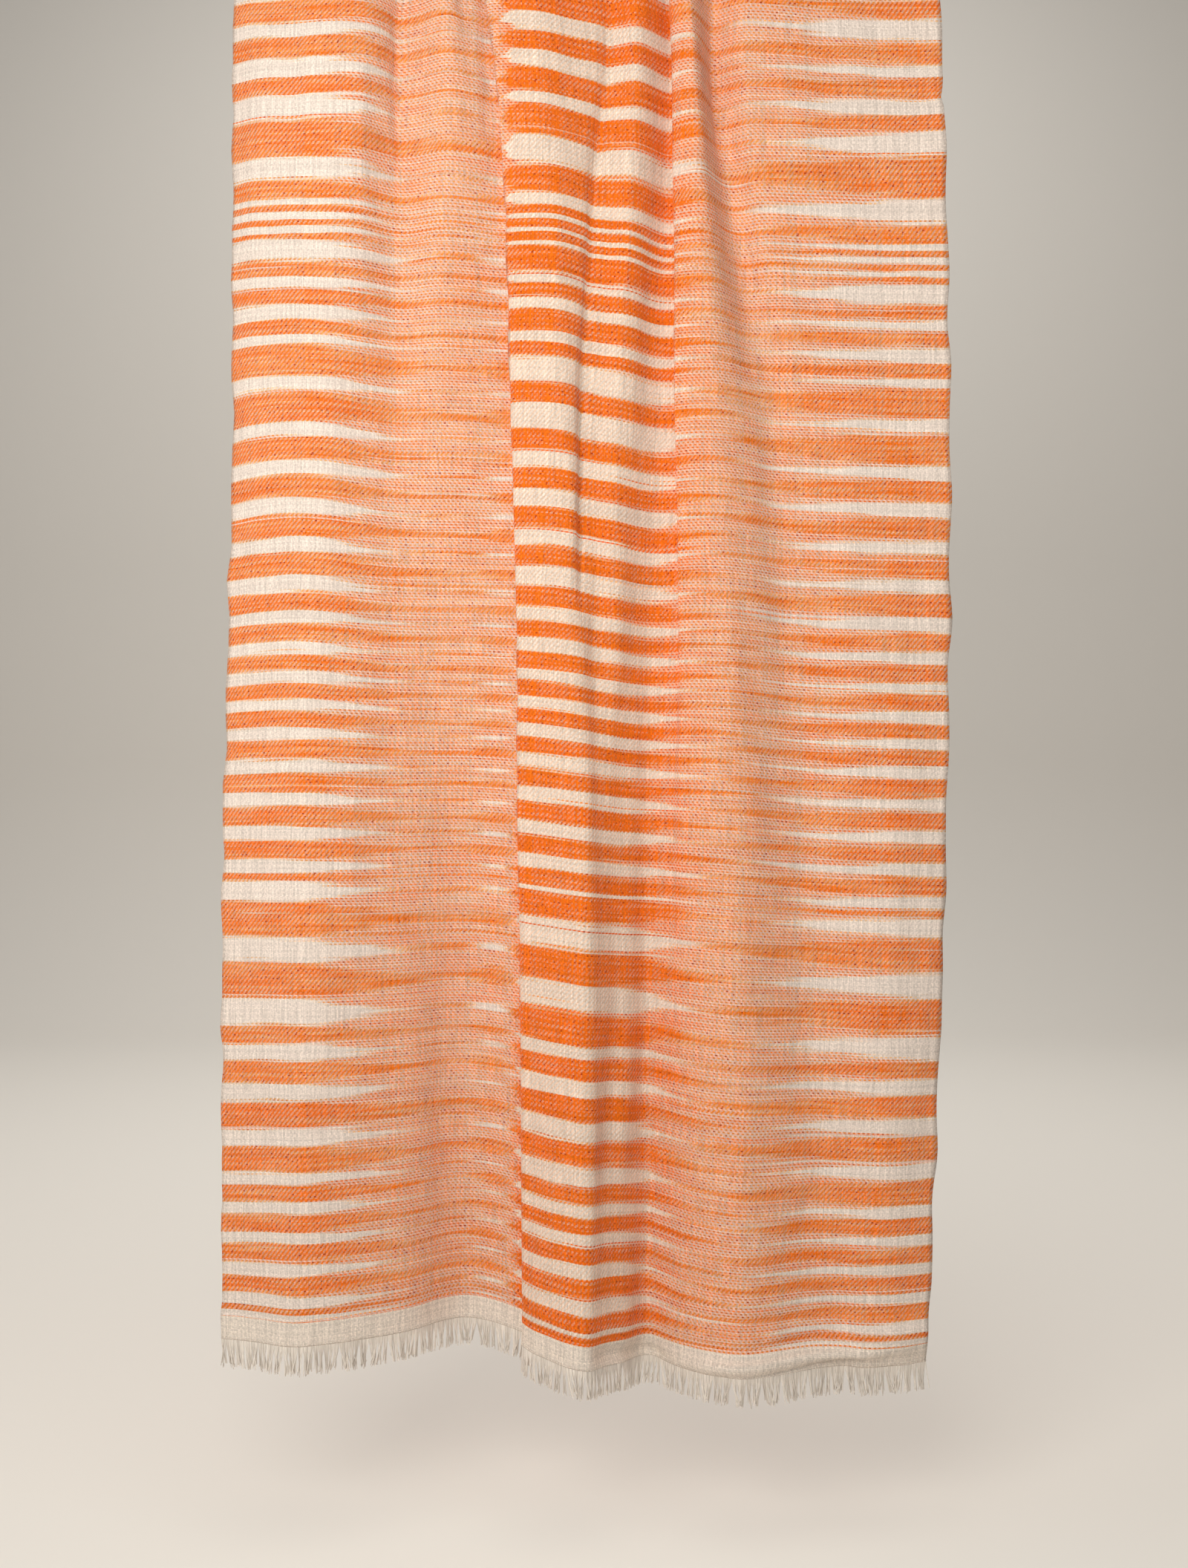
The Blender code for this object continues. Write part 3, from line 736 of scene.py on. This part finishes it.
    # The picks have their own dye, some orange fuzz from the threads round them, and dark specks, where
    # the dye pooled in a thick place of the yarn.
    haze = add("ShaderNodeMath", {0: centre, 1: 0.13}, operation="MULTIPLY")
    fuzz = add("ShaderNodeMath", {0: tint, 1: 0.60, 2: haze}, operation="MULTIPLY_ADD")
    fuzz = add("ShaderNodeMath", {0: fuzz, 1: striped}, operation="MULTIPLY")
    speck = add("ShaderNodeMath", {0: uneven["dye pooled in specks"], 1: own}, operation="MULTIPLY")
    weft_yarn = cream
    for share, color in ((striped, dye_ramp), (fuzz, ORANGE), (speck, linear("#b0340c"))):
        weft_yarn = add("ShaderNodeMix", {0: share, 6: weft_yarn, 7: color}, data_type="RGBA").outputs[2]
    yarn = add("ShaderNodeMix", {0: weft_over, 6: warp_yarn, 7: weft_yarn}, data_type="RGBA").outputs[2]

    # Each thread is rounded, with painted shade darkening its colour into the groove beside it and a little
    # painted highlight on its crown. No two are quite as light as each other, and the hand-spun yarn runs
    # thick and thin, in short lengths down the warp and in small clots all over.
    rounds = []
    for at in (end_at, pick_at):
        within = add("ShaderNodeMath", {0: at}, operation="FRACT")
        rounds.append(add("ShaderNodeMath", {0: within, 1: 0.5}, operation="PINGPONG"))
    rounding, thread_chance = (
        add("ShaderNodeMix", {0: weft_over, 2: of_end, 3: of_pick}, data_type="FLOAT")
        for of_end, of_pick in (rounds, (end_chance, chances[2]))
    )
    thread_height = add(
        "ShaderNodeMapRange", {"Value": rounding, "From Max": 0.5}, interpolation_type="SMOOTHSTEP"
    )
    light = add("ShaderNodeMapRange", {"Value": thread_chance, "To Min": 0.86, "To Max": 1.08})
    # This factor is painted shade in the groove between threads, darkening the colour to 0.80 there, and a
    # painted highlight of 1.06 on each thread's crown.
    painted_groove_shade = add("ShaderNodeMapRange", {"Value": thread_height, "To Min": 0.80, "To Max": 1.06})
    for factor in (painted_groove_shade, uneven["yarn runs thick and thin"], uneven["yarn has small clots"]):
        light = add("ShaderNodeMath", {0: light, 1: factor}, operation="MULTIPLY")
    color = add(
        "ShaderNodeMix", {0: 1.0, 6: yarn, 7: light}, data_type="RGBA", blend_type="MULTIPLY"
    ).outputs[2]
    relief = add("ShaderNodeBump", {"Height": thread_height, "Strength": 0.5, "Distance": 0.00018})
    connect(shader, {"Base Color": color, "Normal": relief, "Roughness": 0.92})
    connect(shader, {"Specular IOR Level": 0.2, "Sheen Weight": 0.15, "Sheen Roughness": 0.5})
    connect(shader, {"Sheen Tint": linear("#ffe4cf")})
    return material


def add_values(piece, name, values):
    """Give each point of a piece a value that its material reads."""
    piece.data.attributes.new(name, "FLOAT", "POINT").data.foreach_set("value", values)


cloth = add_piece("shawl_cloth", grid.reshape(-1, 3), quads(*across_grid.shape), ikat_dyed_pashmina_twill())
weave_map = cloth.data.uv_layers.new(name="weave")
corner_points = np.empty(len(cloth.data.loops), dtype=np.int32)
cloth.data.loops.foreach_get("vertex_index", corner_points)
places = np.stack([across_grid.ravel(), down_grid.ravel()], axis=1)[corner_points]
weave_map.data.foreach_set("uv", places.ravel())
shares = across_grid.ravel() / CLOTH_WIDTH
add_values(cloth, "stripe", np.interp(down_grid.ravel(), EDGE_AT, EDGE_PHASE))
add_values(cloth, "drift", follow([d.share for d in DRIFTS], [d.turns for d in DRIFTS], shares))
wall = cloth.modifiers.new("thickness", "SOLIDIFY")
wall.thickness = CLOTH_THICKNESS
wall.offset = 0.0
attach(cloth, "root")
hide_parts("front_fall", "over_rod", "back_fall")


# The fringes. At each end the warp threads run on past the last pick, bunched in small tufts and cut
# level, so they fall as soft cream threads that lean a little this way and that.
FIBRE_MM = 1.1111  # the size of the small hairs on the yarn


def undyed_pashmina_yarn():
    """Single woollen yarn, spun by hand and left undyed: a warm off-white, matt and slightly hairy."""
    material, add, shader = new_finish("undyed_pashmina_yarn")
    tone = add("ShaderNodeAttribute", attribute_name="thread_tone").outputs["Fac"]
    place = add("ShaderNodeTexCoord").outputs["Object"]
    fibre = add("ShaderNodeTexNoise", {"Vector": place, "Scale": 1000 / FIBRE_MM, "Detail": 2.0})
    color = add(
        "ShaderNodeMix", {0: tone, 6: linear("#c9c0b6"), 7: linear("#f6efe6")}, data_type="RGBA"
    ).outputs[2]
    relief = add("ShaderNodeBump", {"Height": fibre, "Strength": 0.4, "Distance": 0.0001})
    connect(shader, {"Base Color": color, "Normal": relief, "Roughness": 0.95, "Sheen Weight": 0.3})
    return material


def new_node_group(name, sockets):
    """A Geometry Nodes tree with inputs of these names and kinds, what adds a node to it, and its inputs."""
    tree = bpy.data.node_groups.new(name, "GeometryNodeTree")
    for title, kind in {"Geometry": "Geometry", **sockets}.items():
        tree.interface.new_socket(title, in_out="INPUT", socket_type="NodeSocket" + kind)
    tree.interface.new_socket("Geometry", in_out="OUTPUT", socket_type="NodeSocketGeometry")
    add = partial(add_node, tree)
    return tree, add, add("NodeGroupInput").outputs


def cut_fringe():
    """Threads hung along a line: bunched in tufts by number, then leaned, bowed and cut to length."""
    tree, add, given = new_node_group(
        "cut_fringe",
        {
            "Threads": "Int", "Threads in a tuft": "Int", "Spacing": "Float", "Length": "Float",
            "Thickness": "Float", "Seed": "Int", "Yarn": "Material",
        },
    )
    line = add("GeometryNodeMeshToCurve", {0: given["Geometry"]})
    roots = add("GeometryNodeResampleCurve", {"Curve": line, "Count": given["Threads"]})
    number = add("GeometryNodeInputIndex")
    in_tuft = given["Threads in a tuft"]
    share = add("ShaderNodeMath", {0: number, 1: in_tuft}, operation="DIVIDE")
    tuft = add("ShaderNodeMath", {0: share}, operation="FLOOR")

    # How far each thread is pulled to its tuft's middle, which is near the fifth of its nine threads.
    within = add("ShaderNodeMath", {0: share}, operation="FRACT")
    from_middle = add("ShaderNodeMath", {0: 0.45, 1: within}, operation="SUBTRACT")
    tuft_wide = add("ShaderNodeMath", {0: given["Spacing"], 1: in_tuft}, operation="MULTIPLY")
    pull = add("ShaderNodeMath", {0: from_middle, 1: tuft_wide}, operation="MULTIPLY")

    # What differs from tuft to tuft and from thread to thread, drawn between two values.
    drawn = {}
    for k, (title, least, most, counted_by) in enumerate((
        ("tuft's lean", -0.16, 0.16, tuft),
        ("lean", -0.10, 0.10, number),
        ("out", -0.10, 0.16, number),
        ("cut", 0.80, 1.06, number),
        ("tone", 0.0, 1.0, number),
    )):
        seed = add("ShaderNodeMath", {0: given["Seed"], 1: float(k)}, operation="ADD")
        drawn[title] = add(
            "FunctionNodeRandomValue", {2: least, 3: most, "ID": counted_by, "Seed": seed},
            data_type="FLOAT",
        ).outputs[1]
    both = add("ShaderNodeMath", {0: drawn["lean"], 1: drawn["tuft's lean"]}, operation="ADD")
    lean, out, cut = (
        add("ShaderNodeMath", {0: share_of_length, 1: given["Length"]}, operation="MULTIPLY")
        for share_of_length in (both, drawn["out"], drawn["cut"])
    )

    # The roots keep these, and the threads that are hung from them take them over.
    kept = {
        "pull": (pull, "FLOAT"),
        "lean": (lean, "FLOAT"),
        "out": (out, "FLOAT"),
        "thread_tone": (drawn["tone"], "FLOAT"),
        "along": (add("GeometryNodeInputTangent"), "FLOAT_VECTOR"),
    }
    for title, (value, kind) in kept.items():
        roots = add(
            "GeometryNodeStoreNamedAttribute", {"Geometry": roots, "Name": title, "Value": value},
            data_type=kind,
        )
    thread = add("GeometryNodeCurvePrimitiveLine", {"Start": (0, 0, 0), "End": (0, 0, -1)})
    thread = add("GeometryNodeResampleCurve", {"Curve": thread, "Count": 6})
    size = add("ShaderNodeCombineXYZ", {0: 1.0, 1: 1.0, 2: cut})
    hung = add("GeometryNodeInstanceOnPoints", {"Points": roots, "Instance": thread, "Scale": size})
    hung = add("GeometryNodeRealizeInstances", {"Geometry": hung})
    pull, lean, out, along = (
        add("GeometryNodeInputNamedAttribute", {"Name": title}, data_type=kept[title][1])
        for title in ("pull", "lean", "out", "along")
    )

    # Each thread draws in to its tuft, leans and bows, more and more on the way down.
    down = add("GeometryNodeSplineParameter")
    bow = add("ShaderNodeMath", {0: down, 1: 1.7}, operation="POWER")
    gather = add(
        "ShaderNodeMapRange", {"Value": down, "From Max": 0.9, "To Max": 0.86},
        interpolation_type="SMOOTHSTEP",
    )
    gathered = add("ShaderNodeMath", {0: pull, 1: gather}, operation="MULTIPLY")
    sideways = add("ShaderNodeMath", {0: lean, 1: bow, 2: gathered}, operation="MULTIPLY_ADD")
    shift = add("ShaderNodeVectorMath", {0: along, "Scale": sideways}, operation="SCALE")
    outwards = add("ShaderNodeMath", {0: out, 1: bow}, operation="MULTIPLY")
    outwards = add("ShaderNodeMath", {0: outwards, 1: -1.0}, operation="MULTIPLY")
    outwards = add("ShaderNodeCombineXYZ", {1: outwards})
    shift = add("ShaderNodeVectorMath", {0: shift, 1: outwards}, operation="ADD")
    hung = add("GeometryNodeSetPosition", {"Geometry": hung, "Offset": shift})
    radius = add("ShaderNodeMath", {0: given["Thickness"], 1: 0.5}, operation="MULTIPLY")
    ring = add("GeometryNodeCurvePrimitiveCircle", {"Resolution": 4, "Radius": radius})
    yarn = add("GeometryNodeCurveToMesh", {"Curve": hung, "Profile Curve": ring, "Fill Caps": True})
    yarn = add("GeometryNodeRealizeInstances", {"Geometry": yarn})
    yarn = add("GeometryNodeSetMaterial", {"Geometry": yarn, "Material": given["Yarn"]})
    add("NodeGroupOutput", {0: yarn})
    return tree


def made_along(name, lines, tree, settings):
    """Run a tree on lines of points, and keep what it makes as a plain mesh."""
    points = [tuple(point) for line in lines for point in line]
    edges = []
    start = 0
    for line in lines:
        edges += [(start + k, start + k + 1) for k in range(len(line) - 1)]
        start += len(line)
    guide = bpy.data.meshes.new(name)
    guide.from_pydata(points, edges, [])
    piece = bpy.data.objects.new(name, guide)
    bpy.context.scene.collection.objects.link(piece)
    modifier = piece.modifiers.new("made", "NODES")
    modifier.node_group = tree
    for socket in tree.interface.items_tree:
        if socket.in_out == "INPUT" and socket.name in settings:
            modifier[socket.identifier] = settings[socket.name]
    evaluated = piece.evaluated_get(bpy.context.evaluated_depsgraph_get())
    mesh = bpy.data.meshes.new_from_object(evaluated)
    piece.modifiers.remove(modifier)
    piece.data = mesh
    mesh.shade_smooth()
    return piece


yarn = undyed_pashmina_yarn()
fringe_nodes = cut_fringe()
THREADS = 1540
FRINGE = {
    "Threads": THREADS,
    "Threads in a tuft": 9,
    "Spacing": CLOTH_WIDTH / THREADS,
    "Length": 0.022,
    "Thickness": 0.00080,
    "Yarn": yarn,
}
front_fringe = made_along("front_fringe_threads", [grid[-1]], fringe_nodes, {**FRINGE, "Seed": 5})
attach(front_fringe, "root")
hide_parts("front_fringe")

back_fringe = made_along("back_fringe_threads", [grid[0]], fringe_nodes, {**FRINGE, "Seed": 23})
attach(back_fringe, "root")
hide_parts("back_fringe")


# The hemstitching. Two rows of small stitches over the last picks of each end band, sewn by hand in the
# same undyed yarn, hold the weft from slipping down into the fringe.
STITCH_ROWS = (0.0010, 0.0030)  # how far each row is from the end band's edge


def row_of_stitches():
    """Small stitches laid end to end along a line, each a short rounded length of yarn."""
    tree, add, given = new_node_group(
        "row_of_stitches",
        {"Stitches": "Int", "Length": "Float", "Thickness": "Float", "Seed": "Int", "Yarn": "Material"},
    )
    line = add("GeometryNodeMeshToCurve", {0: given["Geometry"]})
    spots = add("GeometryNodeResampleCurve", {"Curve": line, "Count": given["Stitches"]})
    tone, long = (
        add(
            "FunctionNodeRandomValue", {2: least, 3: most, "Seed": given["Seed"]}, data_type="FLOAT"
        ).outputs[1]
        for least, most in ((0.2, 1.0), (0.7, 1.1))
    )
    spots = add(
        "GeometryNodeStoreNamedAttribute", {"Geometry": spots, "Name": "thread_tone", "Value": tone},
        data_type="FLOAT",
    )
    ball = add("GeometryNodeMeshUVSphere", {"Segments": 6, "Rings": 4, "Radius": 0.5})
    along = add("GeometryNodeInputTangent")
    turn = add("FunctionNodeAlignRotationToVector", {"Vector": along}, axis="X")
    long = add("ShaderNodeMath", {0: long, 1: given["Length"]}, operation="MULTIPLY")
    size = add("ShaderNodeCombineXYZ", {0: long, 1: given["Thickness"], 2: given["Thickness"]})
    laid = add(
        "GeometryNodeInstanceOnPoints",
        {"Points": spots, "Instance": ball, "Rotation": turn, "Scale": size},
    )
    laid = add("GeometryNodeRealizeInstances", {"Geometry": laid})
    laid = add("GeometryNodeSetMaterial", {"Geometry": laid, "Material": given["Yarn"]})
    add("NodeGroupOutput", {0: laid})
    return tree


def on_the_cloth(down):
    """A line of points along the cloth's outer face, at a distance down it."""
    row = np.interp(down, downs, np.arange(len(downs)))
    low, part = int(row), row - int(row)
    high = min(low + 1, len(downs) - 1)
    return grid[low] * (1 - part) + grid[high] * part + outward[low] * CLOTH_THICKNESS / 2


stitch_lines = [on_the_cloth(FRONT_LENGTH - from_edge) for from_edge in STITCH_ROWS]
stitch_lines += [on_the_cloth(downs[0] + from_edge) for from_edge in STITCH_ROWS]
stitches = made_along(
    "hem_stitches", stitch_lines, row_of_stitches(),
    {"Stitches": 330, "Length": 0.0015, "Thickness": 0.0007, "Seed": 2, "Yarn": yarn},
)
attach(stitches, "root")


# The camera. The photograph was taken square on, level with the middle of the front fall.
camera_data = bpy.data.cameras.new("photograph")
camera_data.sensor_fit = "VERTICAL"
camera_data.sensor_height = 36.0
camera_data.lens = 37.5
camera = bpy.data.objects.new("photograph", camera_data)
camera.location = (0.006, -1.36, -0.7236)
camera.rotation_euler = (math.radians(90), 0, 0)
bpy.context.scene.collection.objects.link(camera)
bpy.context.scene.camera = camera
bpy.context.scene.view_settings.view_transform = "Standard"  # shows the dye as bright as the photograph does


# The studio. A pale floor that curves up far behind the shawl, with a soft light over it and another for
# the shawl's back. In front are a soft light a little to the left, a large weak one far to the left and
# one above.
PULP_MM = 1.4286  # the grain of the paper


def seamless_paper():
    """Matt studio background paper, rolled out by the metre: even, pale and without gloss."""
    material, add, shader = new_finish("seamless_paper")
    place = add("ShaderNodeTexCoord").outputs["Object"]
    pulp = add("ShaderNodeTexNoise", {"Vector": place, "Scale": 1000 / PULP_MM, "Detail": 2.0})
    relief = add("ShaderNodeBump", {"Height": pulp, "Strength": 0.05, "Distance": 0.0002})
    connect(shader, {"Base Color": linear("#e4e0da"), "Roughness": 0.95, "Normal": relief})
    return material


FLOOR = -1.36
FLOOR_FRONT = -3.4
FLOOR_BACK = 2.7
CURVE = 0.7  # the radius in which the paper curves up
PAPER_TOP = 2.6
PAPER_HALF = 4.0
sweep_profile = [(FLOOR_FRONT, FLOOR), (FLOOR_BACK, FLOOR)]
sweep_profile += [
    (FLOOR_BACK + CURVE * math.sin(a), FLOOR + CURVE * (1 - math.cos(a)))
    for a in np.linspace(0.15, math.pi / 2, 12)
]
sweep_profile.append((FLOOR_BACK + CURVE, PAPER_TOP))
sweep_points = [(x, y, z) for y, z in sweep_profile for x in (PAPER_HALF, -PAPER_HALF)]
sweep = add_piece("paper_sweep", sweep_points, quads(len(sweep_profile), 2), seamless_paper())


def add_light(name, place, aim, size, watts, color):
    """A softbox that faces a point."""
    light_data = bpy.data.lights.new(name, "AREA")
    light_data.shape = "RECTANGLE"
    light_data.size, light_data.size_y = size
    light_data.energy = watts
    light_data.color = linear(color)[:3]
    light = bpy.data.objects.new(name, light_data)
    light.location = place
    light.rotation_euler = (Vector(aim) - Vector(place)).to_track_quat("-Z", "Y").to_euler()
    bpy.context.scene.collection.objects.link(light)


add_light("key", (-0.35, -1.25, -0.30), (0.0, 0.0, -0.50), (0.8, 0.6), 13.6, "#fff9f1")
add_light("side", (-1.70, -0.60, -0.20), (0.0, 0.0, -0.55), (0.9, 1.2), 4.3, "#fff9f1")
add_light("top", (0.10, -0.90, 1.00), (0.0, 0.0, -0.30), (1.4, 0.8), 6.3, "#fff6ea")
add_light("paper light", (0.0, 1.6, 1.9), (0.0, 2.4, -1.2), (2.4, 1.2), 40.0, "#fffdf9")
add_light("back light", (0.0, 1.9, 1.4), (0.0, 0.0, -0.5), (1.6, 1.0), 24.0, "#fffcf7")
world = bpy.data.worlds.new("studio")
world.use_nodes = True
connect(world.node_tree.nodes["Background"], {"Color": linear("#eeebe6"), "Strength": 0.28})
bpy.context.scene.world = world
